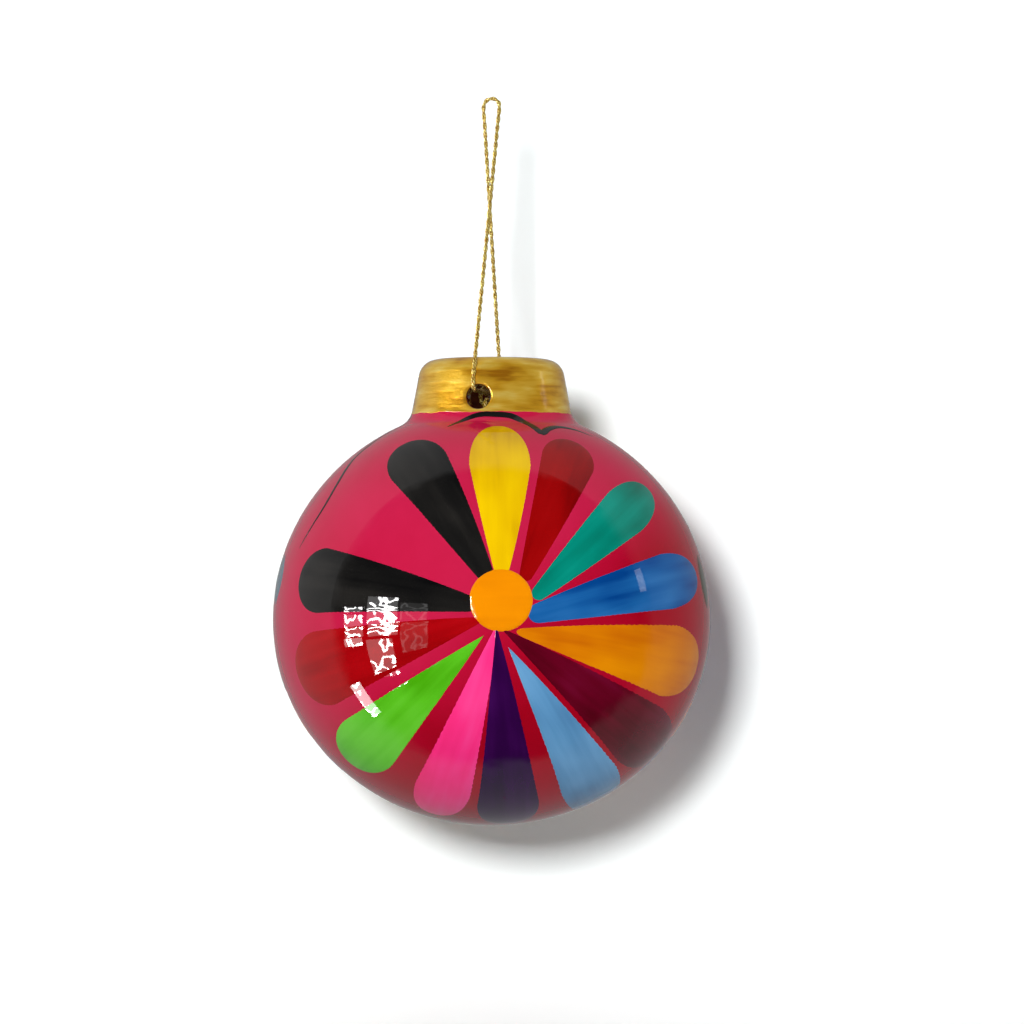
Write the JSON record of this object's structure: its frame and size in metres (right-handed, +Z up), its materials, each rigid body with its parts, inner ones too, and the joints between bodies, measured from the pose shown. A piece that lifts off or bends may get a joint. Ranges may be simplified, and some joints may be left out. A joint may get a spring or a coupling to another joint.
{
  "type": "ceramic ball ornament",
  "caption": "Hollow ceramic ball with a short open neck, painted with a large many-coloured flower, hanging from a thin gold cord loop that is tied inside the neck.",
  "frame": {"origin": "the point that the loop hangs from: the underside of the cord at the top of its bend", "axes": "+Z up, along the ball's axis; the two cord holes lie along Y, with the front hole and the main painted flower on the -Y side; +X to the right seen from the front"},
  "size_m": [0.08, 0.08, 0.1337],
  "materials": {
    "painted_clay": "painted fired clay under a high-gloss varnish",
    "gold_cord": "twisted metallic thread"
  },
  "bodies": {
    "hanger": {"cord_top_bend": "gold_cord"},
    "cord": {"cord_front_strand": "gold_cord", "cord_back_strand": "gold_cord", "cord_front_end": "gold_cord", "cord_back_end": "gold_cord"},
    "ball": {"ceramic_ball": "painted_clay"}
  },
  "joints": [
    {"name": "cord_twist", "type": "hinge", "parent": "hanger", "child": "cord", "pos_m": [0, 0, 0], "axis": [0, 0, 1], "range_deg": [-180, 180], "stiffness_Nm_per_rad": 0.0004},
    {"name": "ball_rock", "type": "hinge", "parent": "cord", "child": "ball", "pos_m": [-0.00085, 0, -0.05386], "axis": [0, 1, 0], "range_deg": [-80, 80]}
  ]
}
